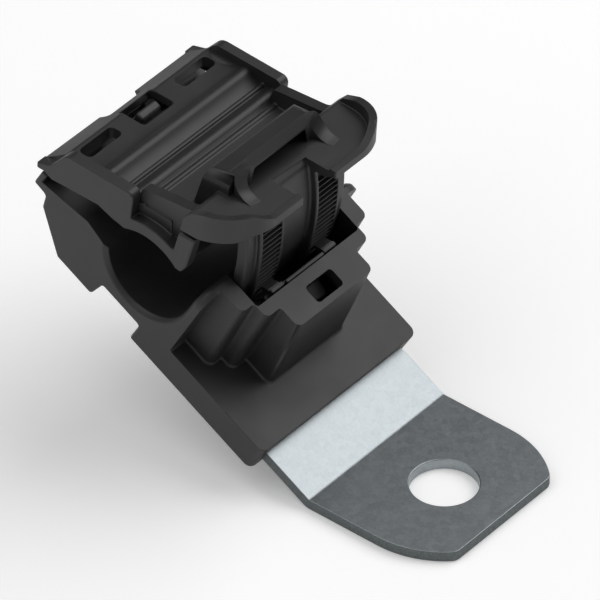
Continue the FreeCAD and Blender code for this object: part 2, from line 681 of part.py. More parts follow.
def build_jaw():
    """Jaw moulding: deck, seat, wings, rim loop, ratchet tongue and snap hooks."""
    body = new_body("RatchetJaw", "ratchet_jaw")
    inside = HALF - d.jaw_wall
    under = d.jaw_deck - d.jaw_wall
    seat_reach = TONGUE_INNER - d.saddle_back
    seat = (seat_reach, -d.saddle_drop)
    seat_outer = d.saddle_radius + d.saddle_wall
    ridge = seat_reach - d.ridge_back
    border_front = seat_reach - d.border_back
    wing_front = TONGUE_INNER + d.wing_overhang
    wing_rear = wing_front - d.wing_length
    crest = TONGUE_INNER - d.bridge_back
    loop_rear = TONGUE_INNER - d.loop_back
    valley = d.jaw_deck - 0.95

    deck = outline(body, "DeckSection", "YZ_Plane", facing([
        (-d.rear_lip, 1.5),
        (d.deck_rear - 0.1, d.jaw_deck - 0.1),
        (d.deck_rear + 0.3, d.jaw_deck),
        (ridge - 0.7, d.jaw_deck),
        (ridge, d.jaw_deck + 0.25, Size.of(0.95), RIGHT),
        (ridge + 1.4, d.jaw_deck + 0.3, Size.of(3.5), LEFT),
        (ridge + 2.95, d.jaw_deck - 0.75),
        (ridge + 3.1, d.jaw_deck - 0.4),
        (ridge + 3.5, d.jaw_deck - 0.42),
        (ridge + 3.65, d.jaw_deck - 0.8),
        (ridge + 4.3, d.jaw_deck - 0.55, Size.of(0.9), RIGHT),
        (ridge + 5.7, d.jaw_deck - 0.6),
        (ridge + 6.15, valley - 0.05),
        (ridge + 6.4, d.jaw_deck - 0.65),
        (ridge + 6.8, d.jaw_deck - 0.65),
        (ridge + 7.05, valley),
        (crest - 1.0, valley),
        (crest - 1.0, valley - 2.4),
        (seat_reach, -d.saddle_drop + d.saddle_radius + 0.8),
        (ridge + 4.9, 0.45),
        (ridge + 3.6, d.jaw_deck - 2.7),
        (ridge + 1.0, under + 0.2),
        (ridge - 0.2, under),
        (d.deck_rear + 0.5, under),
        (-0.5, 0.98),
    ]))
    pad(body, "Deck", deck, inside * 2 + 0.1)

    front_low = polar(seat, d.saddle_radius, d.saddle_front_turn)
    front_high = polar(seat, seat_outer, d.saddle_front_turn)
    rear_low = polar(seat, d.saddle_radius, d.saddle_rear_turn)
    rear_high = polar(seat, seat_outer, d.saddle_rear_turn)
    saddle = outline(body, "SaddleSection", "YZ_Plane", facing([
        rear_low + (d.saddle_radius, RIGHT),
        front_low,
        front_high + (seat_outer, LEFT),
        rear_high,
    ]))
    pad(body, "Saddle", saddle, BODY_WIDTH)

    wall = outline(body, "SideWall", "YZ_Plane", facing([
        (-1.15, 0.75),
        (0.1, 0.75),
        (1.26, 0.15),
        (border_front - 5.3, 0.45),
        (border_front - 3.2, -0.33),
        rear_low + (d.saddle_radius, RIGHT),
        front_low,
        (front_low[0] + 0.9, front_low[1] - 0.1),
        (front_low[0] + 1.6, front_low[1] + 1.1),
        (front_low[0] + 3.0, d.wing_bottom + 1),
        (front_low[0] + 3.0, d.wing_floor),
        (front_low[0] + 1.0, d.wing_floor),
        (front_low[0] - 0.4, 0.4),
        (border_front - 0.3, 0.9),
        (border_front, d.border_top),
        (d.deck_rear + d.border_rear, d.border_top),
        (d.deck_rear - 1.2, 2.3),
        (-1.1, 1.55),
    ]), shift=inside)
    plank = pad(body, "SidePlank", wall, d.jaw_wall, symmetric=False)
    mirror_across(body, "SidePlanks", [plank])
    round_edges(
        body, "BorderCorners", d.border_round,
        lambda edge, middle: near(-middle.y, border_front) and near(middle.z, d.border_top)
        and edge.BoundBox.XLength > 1,
    )
    round_edges(
        body, "BorderRears", d.border_rear_round,
        lambda edge, middle: near(-middle.y, d.deck_rear + d.border_rear)
        and near(middle.z, d.border_top) and edge.BoundBox.XLength > 1,
    )

    corner_start = wing_front - d.wing_round

    def wing_plan(inset, rear):
        """Plan of the wings inside their rim by an inset."""
        turn = d.wing_round - inset
        side, front = HALF - inset, -(wing_front - inset)
        return [
            (side, -corner_start, turn, RIGHT),
            (side - turn, front),
            (turn - side, front, turn, RIGHT),
            (-side, -corner_start),
            (-side, -rear),
            (side, -rear),
        ]

    plan = outline(body, "WingPlan", "XY_Plane", wing_plan(Size.of(0), wing_rear - 0.9),
                   shift=d.wing_bottom)
    pad(body, "Wings", plan, d.wing_rim_top - d.wing_bottom, symmetric=False)
    hollow = outline(
        body, "WingUnderside", "XY_Plane", wing_plan(d.wing_rim + 0.2, wing_rear - 2),
        shift=d.wing_bottom - 1,
    )
    pocket(
        body, "UnderWings", hollow, d.wing_floor - d.wing_floor_wall - d.wing_bottom + 1,
        symmetric=False, backwards=True,
    )
    dish = outline(
        body, "WingDish", "XY_Plane", wing_plan(d.wing_rim, wing_rear - 3),
        shift=d.wing_rim_top + 1,
    )
    pocket(body, "Dish", dish, d.wing_rim_top + 1 - d.wing_floor, symmetric=False)
    slope = outline(body, "RimSlope", "YZ_Plane", facing([
        (wing_rear - 2.2, d.wing_bottom + 1),
        (wing_rear - 1.0, d.wing_floor - 0.85),
        (wing_rear + 0.3, d.ledge_top + 0.3),
        (wing_rear + 2.2, d.ledge_top + 1.05),
        (wing_front - 1.4, d.wing_rim_top),
        (wing_front + 1, d.wing_rim_top - 0.2),
        (wing_front + 1, d.wing_rim_top + 1),
        (wing_rear - 2.2, d.wing_rim_top + 1),
    ]))
    pocket(body, "RimSlopes", slope, BODY_WIDTH + 2)
    ledge_half = HALF - d.ledge_inset
    low = outline(body, "LedgeDip", "XZ_Plane", [
        (ledge_half, d.ledge_top),
        (ledge_half + 3.2, d.wing_rim_top),
        (ledge_half + 3.2, d.wing_rim_top + 1),
        (-ledge_half - 3.2, d.wing_rim_top + 1),
        (-ledge_half - 3.2, d.wing_rim_top),
        (-ledge_half, d.ledge_top),
    ])
    pocket(body, "Ledge", low, wing_front + 5, symmetric=False, backwards=True)
    skirt = outline(body, "SkirtSlope", "YZ_Plane", facing([
        (wing_rear - 3, d.wing_bottom - 0.5),
        (wing_front + 1, d.wing_bottom - 0.5),
        (wing_front + 1, d.wing_bottom + d.skirt_rise),
        (wing_front - 0.6, d.wing_bottom + d.skirt_rise - 0.05),
        (wing_front - 2.1, d.wing_bottom + d.skirt_rise * 0.58),
        (wing_front - 4.3, d.wing_bottom + d.skirt_rise * 0.37),
        (wing_rear + 1.2, d.wing_bottom + 0.15),
        (wing_rear - 3, d.wing_bottom + 0.1),
    ]))
    pocket(body, "Skirt", skirt, BODY_WIDTH + 2)

    web_outer = HALF - d.web_inset
    web = outline(body, "SideWeb", "YZ_Plane", facing([
        (border_front - 0.9, 1.9),
        (border_front, d.border_top - 0.05),
        (border_front + 2.0, d.border_top + 0.25),
        (wing_rear - 1.6, d.wing_floor - 0.9),
        (wing_rear + 0.4, d.wing_floor - 0.4),
        (wing_rear + 0.4, d.wing_floor - d.wing_floor_wall - 0.4),
        (front_high[0] - 1.2, front_high[1] + 1),
        (border_front - 0.9, 1.0),
    ]), shift=web_outer - d.web_wall)
    rib = pad(body, "Web", web, d.web_wall, symmetric=False)
    mirror_across(body, "Webs", [rib])

    bridge_half = HALF - d.bridge_inset
    bridge = outline(body, "BridgeSection", "YZ_Plane", facing([
        (crest - 1.45, valley - 0.5),
        (crest - 1.45, valley),
        (crest - 0.1, d.bridge_rear_top - 0.3),
        (crest + 0.4, d.bridge_rear_top + 0.05),
        (loop_rear + 0.1, d.bridge_front_top),
        (loop_rear + 0.1, 1.2),
        (crest + 1.2, 0.6),
        (crest + 0.2, 0.2),
        (crest - 1.45, 1.0),
    ]))
    pad(body, "Bridge", bridge, bridge_half * 2)
    round_edges(
        body, "BridgeEnds", d.bridge_round,
        lambda edge, middle: near(abs(middle.x), bridge_half)
        and middle.z > d.bridge_rear_top.value - 0.1 and edge.BoundBox.YLength > 1.5,
    )
    cavity = outline(body, "BridgeCavity", "YZ_Plane", facing([
        (crest + 0.1, 1.9),
        (crest + 1.1, d.bridge_rear_top - d.bridge_wall + 0.05),
        (loop_rear - 0.1, d.bridge_front_top - d.bridge_wall),
        (loop_rear - 0.1, -1),
        (front_high[0] + 0.35, -1),
        (front_high[0] + 0.35, 1.1),
        (crest + 0.6, 1.1),
    ]))
    pocket(body, "Cavity", cavity, (bridge_half - d.bridge_wall) * 2)
    loop_corner = HALF - d.loop_inset
    back = outline(body, "LoopBack", "YZ_Plane", facing([
        (loop_rear, d.wing_bottom + 1),
        (loop_rear + d.loop_wall + 0.4, d.wing_bottom + 1),
        (loop_rear + d.loop_wall + 0.1, d.wing_floor + 0.6),
        (loop_rear + 0.95, d.loop_top - 1.2),
        (loop_rear + 0.15, d.loop_top),
        (loop_rear, d.loop_top - 0.1),
    ]))
    pad(body, "LoopBackWall", back, loop_corner * 2)
    toe = loop_rear + d.loop_reach
    outer_corner = loop_corner + 1.25
    turn_out, turn_in = Size.of(1.6), Size.of(0.6)
    arm = outline(body, "LoopArm", "XY_Plane", [
        (loop_corner - 0.75, -loop_rear),
        (outer_corner - turn_out, -loop_rear, turn_out, RIGHT),
        (outer_corner, -(loop_rear + turn_out)),
        (outer_corner + d.loop_flare * 0.2, -(toe - 1.5)),
        (outer_corner + d.loop_flare, -toe),
        (outer_corner + d.loop_flare - 1.3, -(toe + 0.1)),
        (outer_corner - 1.3, -(toe - 1.4)),
        (outer_corner - d.loop_wall, -(loop_rear + d.loop_wall + turn_in), turn_in, LEFT),
        (outer_corner - d.loop_wall - turn_in, -(loop_rear + d.loop_wall)),
    ], shift=d.wing_floor - 0.5)
    limb = pad(body, "Arm", arm, d.loop_top - d.wing_floor + 0.5, symmetric=False)
    mirror_across(body, "Arms", [limb])
    ramp = outline(body, "ArmRamp", "YZ_Plane", facing([
        (loop_rear - 0.5, d.loop_top),
        (loop_rear + 0.15, d.loop_top),
        (loop_rear + 0.95, d.loop_top - 1.2, Size.of(3.2), LEFT),
        (loop_rear + 2.8, d.wing_floor + 0.25),
        (toe + 0.2, d.wing_floor + 0.02),
        (toe + 1, d.wing_floor + 0.5),
        (toe + 1, d.loop_top + 1),
        (loop_rear - 0.5, d.loop_top + 1),
    ]), shift=loop_corner - 0.75)
    fall = pocket(body, "ArmFall", ramp, d.loop_flare + 3, symmetric=False, backwards=True)
    mirror_across(body, "ArmFalls", [fall], grows=False)

    axis = (Size.of(0), Size.of(0))
    tongue_top = d.wing_floor - 0.2

    def on_arc(radius, level):
        """Point ahead of the hinge at a radius and a level over its axis."""
        return root(radius * radius - level * level), level

    tongue = outline(body, "TongueSection", "YZ_Plane", facing([
        on_arc(TONGUE_INNER, tongue_top) + (TONGUE_INNER, RIGHT),
        polar(axis, TONGUE_INNER, -d.tongue_end),
        polar(axis, TONGUE_PLAIN, -d.tongue_end) + (TONGUE_PLAIN, LEFT),
        on_arc(TONGUE_PLAIN, tongue_top),
    ]))
    pad(body, "Tongue", tongue, TONGUE_HALF * 2)
    first = -d.tongue_end + 0.4
    tooth = outline(body, "ToothShape", "YZ_Plane", facing([
        polar(axis, TONGUE_PLAIN - 0.1, first),
        polar(axis, TOOTH_CREST, first + d.tooth_pitch * 0.8),
        polar(axis, TOOTH_CREST, first + d.tooth_pitch * 0.95),
        polar(axis, TONGUE_PLAIN - 0.1, first + d.tooth_pitch * 0.98),
    ]))
    tooth_end = d.groove_half + d.tooth_rail + d.tooth_width
    tooth_one = pad(body, "Tooth", tooth, tooth_end * 2)
    before = body.Tip
    pattern = body.newObject("PartDesign::PolarPattern", "Teeth")
    body.Tip = before
    pattern.Originals = [tooth_one]
    pattern.Axis = (next(o for o in body.Origin.OriginFeatures if o.Role == "X_Axis"), [""])
    pattern.Mode = "Spacing"
    pattern.Reversed = True
    bind(pattern, "Offset", d.tooth_pitch)
    bind(pattern, "Occurrences", d.tooth_count)
    settle(body, pattern, grows=True)
    groove_floor = TONGUE_PLAIN - d.groove_depth
    beyond = TOOTH_CREST + 0.5
    groove = outline(body, "MiddleGroove", "YZ_Plane", facing([
        (wing_front + 1, d.ledge_top + 1),
        (wing_front + 1, 0),
        (beyond, 0, beyond, RIGHT),
        polar(axis, beyond, -(d.tongue_end + 2)),
        polar(axis, groove_floor, -(d.tongue_end + 2)) + (groove_floor, LEFT),
        on_arc(groove_floor, d.wing_floor - 0.9),
        (loop_rear + d.loop_wall + 0.6, d.wing_floor - 0.2),
        (loop_rear + d.loop_wall + 0.6, d.ledge_top + 1),
    ]))
    pocket(body, "Groove", groove, d.groove_half * 2)
    rail_top = d.wing_floor - d.wing_floor_wall + 0.3
    for label, start in (("InnerRail", d.groove_half), ("OuterRail", tooth_end)):
        rail = outline(body, label + "Section", "YZ_Plane", facing([
            on_arc(TONGUE_PLAIN - 0.2, rail_top) + (TONGUE_PLAIN - 0.2, RIGHT),
            polar(axis, TONGUE_PLAIN - 0.2, -d.tongue_end),
            polar(axis, TOOTH_CREST, -d.tongue_end) + (TOOTH_CREST, LEFT),
            on_arc(TOOTH_CREST, rail_top),
        ]), shift=start)
        strip = pad(body, label, rail, d.tooth_rail, symmetric=False)
        mirror_across(body, label + "s", [strip])

    ring_inner = d.hinge_radius + d.hinge_clearance
    ring_outer = ring_inner + d.hook_wall
    top_turn = 40
    hook = outline(body, "HookSection", "YZ_Plane", facing([
        polar(axis, ring_inner, d.hook_front_turn),
        polar(axis, ring_outer, d.hook_front_turn) + (ring_outer, LEFT),
        polar(axis, ring_outer, top_turn) + (ring_outer, LEFT),
        polar(axis, ring_outer, d.hook_rear_turn),
        polar(axis, ring_inner, d.hook_rear_turn) + (ring_inner, RIGHT),
        polar(axis, ring_inner, top_turn) + (ring_inner, RIGHT),
    ]), shift=HOOK_INNER)
    snap = pad(body, "Hook", hook, d.hook_length, symmetric=False)
    mirror_across(body, "Hooks", [snap])

    clear = d.jaw_deck + 2
    slot = outline(body, "HookOpening", "XY_Plane", rounded_rectangle(
        HOOK_INNER - d.slot_side, -d.slot_front, HOOK_OUTER + d.slot_side,
        -(d.slot_front - d.slot_length), d.slot_corner,
    ), shift=clear)
    one = pocket(body, "HookSlot", slot, clear, symmetric=False)
    mirror_across(body, "HookSlots", [one], grows=False)
    window_half = d.lug_half + d.lug_window_side
    window = outline(body, "LugOpening", "XY_Plane", rectangle(
        -window_half, -d.lug_window_front, window_half, -d.lug_window_rear,
    ), shift=clear)
    pocket(body, "LugWindow", window, clear, symmetric=False)
    notch = outline(body, "RearNotch", "XY_Plane", rectangle(
        -d.notch_half, -d.notch_front, d.notch_half, d.rear_lip + 1,
    ), shift=clear)
    pocket(body, "Notch", notch, clear, symmetric=False)
    reach = (d.hinge_reach, d.hinge_rise)
    body.Placement = Placement(
        Vector(0, 0, 0), Rotation(Vector(1, 0, 0), (d.lean - d.jaw_open).value))
    bind(body, "Placement.Rotation.Angle", d.lean - d.jaw_open)
    bind(body, "Placement.Base.y", d.bend_reach + reach[0] * cosine(d.lean)
         - reach[1] * sine(d.lean))
    bind(body, "Placement.Base.z", d.plate_thickness + reach[0] * sine(d.lean)
         + reach[1] * cosine(d.lean))
    return body


def export(bodies):
    """Check every object and every solid, then write one file per body."""
    document.recompute()
    for item in document.Objects:
        if "Invalid" in item.State or "Error" in item.State:
            raise RuntimeError(f"{item.Name}: {item.State}")
    os.makedirs("parts", exist_ok=True)
    for body in bodies:
        shape = body.Shape
        if shape.isNull() or not shape.isValid() or len(shape.Solids) != 1:
            raise RuntimeError(f"{body.Label} is not one valid solid")
        shape.exportStep(f"parts/{body.Label}.step")
        print(f"{body.Label}: volume {shape.Volume:.1f}, {len(shape.Faces)} faces")


export([build_plate(), build_base(), build_jaw()])
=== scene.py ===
"""Looks of the ratchet P clip: finishes of its three pieces, the studio and the camera."""

import json
import logging
from dataclasses import dataclass, field
from enum import Enum
from math import cos, radians, sin

import bmesh
import bpy
from mathutils import Matrix, Vector

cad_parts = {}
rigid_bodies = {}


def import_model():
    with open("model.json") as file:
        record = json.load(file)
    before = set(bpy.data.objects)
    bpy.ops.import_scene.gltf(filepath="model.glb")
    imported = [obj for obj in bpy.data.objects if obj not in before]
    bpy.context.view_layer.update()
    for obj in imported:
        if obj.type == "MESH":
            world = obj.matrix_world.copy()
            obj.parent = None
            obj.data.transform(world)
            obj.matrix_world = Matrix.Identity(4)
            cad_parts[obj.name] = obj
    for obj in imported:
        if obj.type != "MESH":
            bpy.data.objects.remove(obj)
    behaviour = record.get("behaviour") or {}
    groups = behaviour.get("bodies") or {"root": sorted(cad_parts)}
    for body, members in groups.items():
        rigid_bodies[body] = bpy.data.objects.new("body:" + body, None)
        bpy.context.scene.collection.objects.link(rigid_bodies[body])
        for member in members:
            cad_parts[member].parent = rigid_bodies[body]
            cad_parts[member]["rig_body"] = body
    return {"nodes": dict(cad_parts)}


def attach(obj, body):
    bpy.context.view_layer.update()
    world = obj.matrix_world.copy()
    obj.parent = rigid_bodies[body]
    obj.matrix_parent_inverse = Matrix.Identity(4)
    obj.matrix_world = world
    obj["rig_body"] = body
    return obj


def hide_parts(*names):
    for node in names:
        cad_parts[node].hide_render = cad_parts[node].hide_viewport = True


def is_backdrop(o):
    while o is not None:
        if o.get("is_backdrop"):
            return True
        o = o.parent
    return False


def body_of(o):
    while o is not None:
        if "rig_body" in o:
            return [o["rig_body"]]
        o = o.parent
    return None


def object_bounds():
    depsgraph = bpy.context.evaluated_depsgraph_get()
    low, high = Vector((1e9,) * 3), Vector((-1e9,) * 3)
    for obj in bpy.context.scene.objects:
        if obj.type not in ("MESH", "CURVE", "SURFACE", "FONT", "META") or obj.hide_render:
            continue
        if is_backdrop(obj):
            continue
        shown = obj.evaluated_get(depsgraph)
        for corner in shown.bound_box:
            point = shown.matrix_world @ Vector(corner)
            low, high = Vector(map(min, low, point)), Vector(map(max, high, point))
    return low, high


LOG = logging.getLogger("ratchet_clip")
MM = 0.001
# Corners nearer to each other than this are one corner.
WELD_MM = 0.002
# Squared length in metres that keeps an edge without length from dividing by zero.
LEAST_SQUARE = 1e-18


class ClipPiece(Enum):
    """The three CAD nodes of the clip."""

    PLATE = "mounting_plate"
    BASE = "clamp_base"
    JAW = "ratchet_jaw"


def linear(hex_colour: str) -> tuple[float, float, float, float]:
    """Turn an sRGB hex colour into linear light.

    Args:
        hex_colour: Six hex digits after a hash sign.

    Returns:
        Red, green, blue and an alpha of one.
    """
    channels = []
    for place in (1, 3, 5):
        share = int(hex_colour[place:place + 2], 16) / 255
        channels.append(share / 12.92 if share <= 0.04045 else ((share + 0.055) / 1.055) ** 2.4)
    return channels[0], channels[1], channels[2], 1.0


def add_node(tree: bpy.types.NodeTree, kind: str, settings: dict[str, object] | None = None,
             sockets: dict[str | int, object] | None = None) -> bpy.types.Node:
    """Add a node with its settings and its inputs.

    Args:
        tree: The node tree that takes the node.
        kind: The node's type name.
        settings: Attribute values by name.
        sockets: Input values, or output sockets to link from, by input name or number.

    Returns:
        The new node.
    """
    node = tree.nodes.new(kind)
    for name, value in (settings or {}).items():
        setattr(node, name, value)
    for name, value in (sockets or {}).items():
        socket = node.inputs[name]
        if isinstance(value, bpy.types.NodeSocket):
            tree.links.new(value, socket)
        else:
            socket.default_value = value
    return node


def new_object(name: str, data: bpy.types.ID) -> bpy.types.Object:
    """Put data into a new object of the scene.

    Args:
        name: The object's name.
        data: Its mesh, lamp or camera.

    Returns:
        The object.
    """
    thing = bpy.data.objects.new(name, data)
    bpy.context.scene.collection.objects.link(thing)
    return thing


def mesh_object(name: str, mesh: bmesh.types.BMesh) -> bpy.types.Object:
    """Put a working mesh into a new object of the scene.

    Args:
        name: The object's name.
        mesh: The working mesh, which is freed.

    Returns:
        The object.
    """
    data = bpy.data.meshes.new(name)
    mesh.to_mesh(data)
    mesh.free()
    return new_object(name, data)


def flat_panel(name: str, corners: list[Vector],
               material: bpy.types.Material) -> bpy.types.Object:
    """Add a flat panel with four corners.

    Args:
        name: The object's name.
        corners: Its corners in turn, in metres.
        material: Its finish.

    Returns:
        The object.
    """
    mesh = bpy.data.meshes.new(name)
    mesh.from_pydata([tuple(corner) for corner in corners], [], [(0, 1, 2, 3)])
    mesh.materials.append(material)
    return new_object(name, mesh)


def remove_object(thing: bpy.types.Object) -> None:
    """Remove an object and its mesh.

    Args:
        thing: The object.
    """
    data = thing.data
    bpy.data.objects.remove(thing)
    bpy.data.meshes.remove(data)


def reopen(thing: bpy.types.Object) -> bmesh.types.BMesh:
    """Turn an object back into a working mesh.

    Args:
        thing: The object, which is removed.

    Returns:
        The working mesh.
    """
    mesh = bmesh.new()
    mesh.from_mesh(thing.data)
    remove_object(thing)
    return mesh


def keep_result(thing: bpy.types.Object) -> None:
    """Make what an object's modifiers show its plain mesh.

    Args:
        thing: The object, whose modifiers and old mesh are removed.
    """
    old = thing.data
    seen = thing.evaluated_get(bpy.context.evaluated_depsgraph_get())
    thing.data = bpy.data.meshes.new_from_object(seen)
    thing.modifiers.clear()
    bpy.data.meshes.remove(old)


def run_modifier(thing: bpy.types.Object, kind: str, settings: dict[str, object]) -> None:
    """Change an object's mesh with one modifier.

    Args:
        thing: The object.
        kind: The modifier's type name.
        settings: Attribute values by name.
    """
    modifier = thing.modifiers.new(kind.lower(), kind)
    for name, value in settings.items():
        setattr(modifier, name, value)
    keep_result(thing)


class Surface:
    """A Principled material that is built up feature by feature."""

    def __init__(self, name: str) -> None:
        """Make the plain material.

        Args:
            name: The material's name.
        """
        self.material = bpy.data.materials.new(name)
        self.material.use_nodes = True
        self.tree = self.material.node_tree
        self.tree.nodes.clear()
        self.shader = add_node(self.tree, "ShaderNodeBsdfPrincipled")
        self.output = add_node(self.tree, "ShaderNodeOutputMaterial", sockets={
            "Surface": self.shader.outputs["BSDF"]})
        self.place = add_node(self.tree, "ShaderNodeTexCoord").outputs["Object"]

    def set_inputs(self, values: dict[str, object]) -> None:
        """Set plain inputs of the shader.

        Args:
            values: Input values by name.
        """
        for name, value in values.items():
            self.shader.inputs[name].default_value = value

    def noise(self, size_mm: float, detail: float, roughness: float) -> bpy.types.NodeSocket:
        """Add cloudy noise.

        Args:
            size_mm: Size of its largest clouds.
            detail: How many finer layers it has.
            roughness: How strong each finer layer is.

        Returns:
            The noise's value.
        """
        return add_node(self.tree, "ShaderNodeTexNoise", sockets={
            "Vector": self.place, "Scale": 1 / (size_mm * MM), "Detail": detail,
            "Roughness": roughness}).outputs["Fac"]

    def crystals(self, size_mm: float) -> bpy.types.NodeSocket:
        """Add flat cells of random brightness.

        Args:
            size_mm: Size of a cell.

        Returns:
            The cells' brightness.
        """
        cells = add_node(self.tree, "ShaderNodeTexVoronoi", sockets={
            "Vector": self.place, "Scale": 1 / (size_mm * MM), "Randomness": 1.0})
        return add_node(self.tree, "ShaderNodeSeparateColor", sockets={
            "Color": cells.outputs["Color"]}).outputs["Red"]

    def tint(self, pattern: bpy.types.NodeSocket, dark: tuple[float, str],
             light: tuple[float, str]) -> None:
        """Let the colour follow a pattern.

        Args:
            pattern: The pattern.
            dark: Its value and the sRGB hex colour at the dark end.
            light: Its value and the sRGB hex colour at the light end.
        """
        ramp = add_node(self.tree, "ShaderNodeValToRGB", sockets={"Fac": pattern})
        for element, (position, colour) in zip(ramp.color_ramp.elements, (dark, light)):
            element.position = position
            element.color = linear(colour)
        self.tree.links.new(ramp.outputs["Color"], self.shader.inputs["Base Color"])

    def gloss(self, pattern: bpy.types.NodeSocket, span: tuple[float, float],
              roughness: tuple[float, float]) -> None:
        """Let the roughness follow a pattern.

        Args:
            pattern: The pattern.
            span: Its values at the two ends.
            roughness: The roughness at these ends.
        """
        scale = add_node(self.tree, "ShaderNodeMapRange", sockets={
            "Value": pattern, "From Min": span[0], "From Max": span[1],
            "To Min": roughness[0], "To Max": roughness[1]})
        self.tree.links.new(scale.outputs["Result"], self.shader.inputs["Roughness"])

    def bump(self, pattern: bpy.types.NodeSocket, strength: float, depth_mm: float) -> None:
        """Let the surface rise and fall with a pattern.

        Args:
            pattern: The pattern.
            strength: Share of the full effect.
            depth_mm: Height that a value of one stands for.
        """
        relief = add_node(self.tree, "ShaderNodeBump", sockets={
            "Strength": strength, "Distance": depth_mm * MM, "Height": pattern})
        self.tree.links.new(relief.outputs["Normal"], self.shader.inputs["Normal"])


@dataclass(frozen=True)
class MouldedPolyamide:
    """Black glass-filled polyamide 66, injection moulded in spark-eroded cavities."""

    name: str = "moulded_polyamide_66"
    dark: tuple[float, str] = (0.3, "#1f1d1d")
    light: tuple[float, str] = (0.75, "#252323")
    # Spark-eroded cavities leave a fine grain that breaks highlights up softly.
    grain_mm: float = 0.16
    grain_strength: float = 0.22
    grain_depth_mm: float = 0.02
    # Flow and cooling leave cloudy patches of gloss some millimetres across.
    cloud_mm: float = 5.0
    cloud_span: tuple[float, float] = (0.3, 0.7)
    roughness: tuple[float, float] = (0.46, 0.53)
    ior: float = 1.53

    def make(self) -> bpy.types.Material:
        """Build the material.

        Returns:
            A satin black plastic with a fine grain and cloudy patches of gloss.
        """
        surface = Surface(self.name)
        cloud = surface.noise(self.cloud_mm, detail=4.0, roughness=0.6)
        grain = surface.noise(self.grain_mm, detail=3.0, roughness=0.65)
        surface.tint(cloud, self.dark, self.light)
        surface.gloss(cloud, self.cloud_span, self.roughness)
        surface.bump(grain, self.grain_strength, self.grain_depth_mm)
        surface.set_inputs({"IOR": self.ior})
        return surface.material


@dataclass(frozen=True)
class GalvanisedSteel:
    """Pressed steel strip, hot-dip galvanised, with a fine spangle."""

    name: str = "hot_dip_galvanised_steel"
    dark: tuple[float, str] = (0.35, "#91979a")
    light: tuple[float, str] = (0.95, "#a4aaad")
    # Zinc crystals just under 1 mm wide are faint flat patches of different brightness.
    spangle_mm: float = 0.8
    spangle_share: float = 0.25
    # Pressing and handling leave finer mottling between them.
    mottle_mm: float = 0.35
    mottle_strength: float = 0.1
    mottle_depth_mm: float = 0.01
    roughness: tuple[float, float] = (0.36, 0.42)

    def make(self) -> bpy.types.Material:
        """Build the material.

        Returns:
            A bright grey metal with faint crystals and a mottled sheen.
        """
        surface = Surface(self.name)
        mottle = surface.noise(self.mottle_mm, detail=4.0, roughness=0.7)
        blend = add_node(surface.tree, "ShaderNodeMath", {"operation": "MULTIPLY_ADD"}, {
            0: surface.crystals(self.spangle_mm), 1: self.spangle_share,
            2: mottle}).outputs["Value"]
        surface.tint(blend, self.dark, self.light)
        surface.gloss(blend, (self.dark[0], self.light[0]), self.roughness)
        surface.bump(mottle, self.mottle_strength, self.mottle_depth_mm)
        surface.set_inputs({"Metallic": 1.0})
        return surface.material


@dataclass(frozen=True)
class ShearedSteelEdge:
    """Cut edge of the strip: torn matt steel that the zinc only thinly covers."""

    name: str = "sheared_steel_edge"
    dark: tuple[float, str] = (0.3, "#5f6465")
    light: tuple[float, str] = (0.7, "#747a7b")
    # Shearing tears the face, which leaves it speckled.
    speckle_mm: float = 0.25
    speckle_strength: float = 0.2
    speckle_depth_mm: float = 0.02
    roughness: float = 0.6

    def make(self) -> bpy.types.Material:
        """Build the material.

        Returns:
            A dull dark grey metal with faint speckles.
        """
        surface = Surface(self.name)
        speckle = surface.noise(self.speckle_mm, detail=3.0, roughness=0.5)
        surface.tint(speckle, self.dark, self.light)
        surface.bump(speckle, self.speckle_strength, self.speckle_depth_mm)
        surface.set_inputs({"Metallic": 1.0, "Roughness": self.roughness})
        return surface.material


@dataclass(frozen=True)
class StudioPaper:
    """White seamless paper under the clip."""

    name: str = "seamless_paper"
    colour: str = "#fafafa"
    roughness: float = 0.9
    specular: float = 0.1
    glow: float = 0.17

    def make(self) -> bpy.types.Material:
        """Build the material.

        Returns:
            A matt white that the camera and mirroring metal see a little brighter.
        """
        surface = Surface(self.name)
        tree = surface.tree
        surface.set_inputs({"Base Color": linear(self.colour), "Roughness": self.roughness,
                            "Specular IOR Level": self.specular})
        ray = add_node(tree, "ShaderNodeLightPath")
        seen = add_node(tree, "ShaderNodeMath", {"operation": "MAXIMUM"}, {
            0: ray.outputs["Is Camera Ray"], 1: ray.outputs["Is Glossy Ray"]})
        level = add_node(tree, "ShaderNodeMath", {"operation": "MULTIPLY"}, {
            0: seen.outputs["Value"], 1: self.glow})
        glow = add_node(tree, "ShaderNodeEmission", sockets={
            "Strength": level.outputs["Value"]})
        both = add_node(tree, "ShaderNodeAddShader", sockets={
            0: surface.shader.outputs["BSDF"], 1: glow.outputs["Emission"]})
        tree.links.new(both.outputs["Shader"], surface.output.inputs["Surface"])
        return surface.material


@dataclass(frozen=True)
class BlackFelt:
    """Felt of the dark card above the clip."""

    name: str = "black_felt"
    colour: str = "#101010"
    roughness: float = 1.0

    def make(self) -> bpy.types.Material:
        """Build the material.

        Returns:
            A matt black.
        """
        surface = Surface(self.name)
        surface.set_inputs({"Base Color": linear(self.colour), "Roughness": self.roughness})
        return surface.material


@dataclass(frozen=True)
class SoftBox:
    """One rectangular studio lamp, in metres and watts."""

    name: str
    direction: tuple[float, float, float]
    watts: float
    width: float
    height: float
    distance: float

    def place(self, target: Vector) -> None:
        """Put the lamp up, facing the clip.

        Args:
            target: The point that the lamp faces, in metres.
        """
        data = bpy.data.lights.new(self.name, "AREA")
        data.shape = "RECTANGLE"
        data.size = self.width
        data.size_y = self.height
        data.energy = self.watts
        lamp = new_object(self.name, data)
        aim = Vector(self.direction).normalized()
        lamp.location = target + aim * self.distance
        lamp.rotation_euler = aim.to_track_quat("Z", "Y").to_euler()


